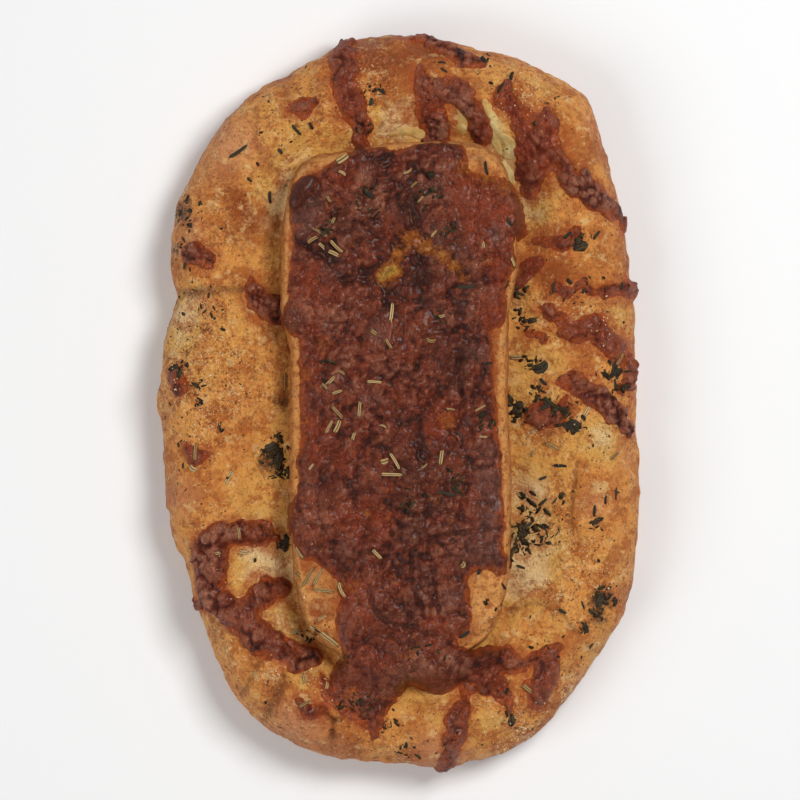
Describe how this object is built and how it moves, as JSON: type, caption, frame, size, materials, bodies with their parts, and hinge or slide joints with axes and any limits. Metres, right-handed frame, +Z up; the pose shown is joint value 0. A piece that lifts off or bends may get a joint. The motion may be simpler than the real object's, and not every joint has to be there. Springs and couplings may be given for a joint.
{
  "type": "brie focaccia",
  "caption": "Oval flatbread with a long slab of brie set in it, browned melted cheese over the slab and in runs across the crust, and rosemary leaves.",
  "frame": {"origin": "centre of the box on the plane that the bread lies on", "axes": "+Z up, +Y along the bread's long side towards the end with the slab's sharper corners, +X to the right when seen from above"},
  "size_m": [0.1502, 0.2301, 0.036],
  "materials": {
    "bread_crust": "golden baked crust, slightly oily, semi-matt, mottled pale to orange-brown",
    "brie_rind": "tan-orange baked cheese rind, smooth, semi-matt",
    "browned_cheese": "dark red-brown melted and browned cheese, lumpy, with a soft gloss",
    "rosemary": "dried straw-coloured and dark green leaves, matt"
  },
  "bodies": {
    "root": {"focaccia_bread": "bread_crust", "brie_slab": "brie_rind", "cheese_cap": "browned_cheese", "cheese_drop_left_lower": "browned_cheese", "cheese_drop_left_upper": "browned_cheese", "cheese_drop_top_left": "browned_cheese", "cheese_finger_right": "browned_cheese", "cheese_ring_bottom_left": "browned_cheese", "cheese_spot_bottom_right": "browned_cheese", "cheese_spot_left": "browned_cheese", "cheese_spot_right": "browned_cheese", "cheese_streak_right_lower": "browned_cheese", "cheese_streak_right_upper": "browned_cheese", "cheese_streak_top": "browned_cheese", "cheese_streak_top_edge": "browned_cheese", "cheese_streak_top_left": "browned_cheese", "cheese_streak_top_right": "browned_cheese"}
  },
  "joints": []
}
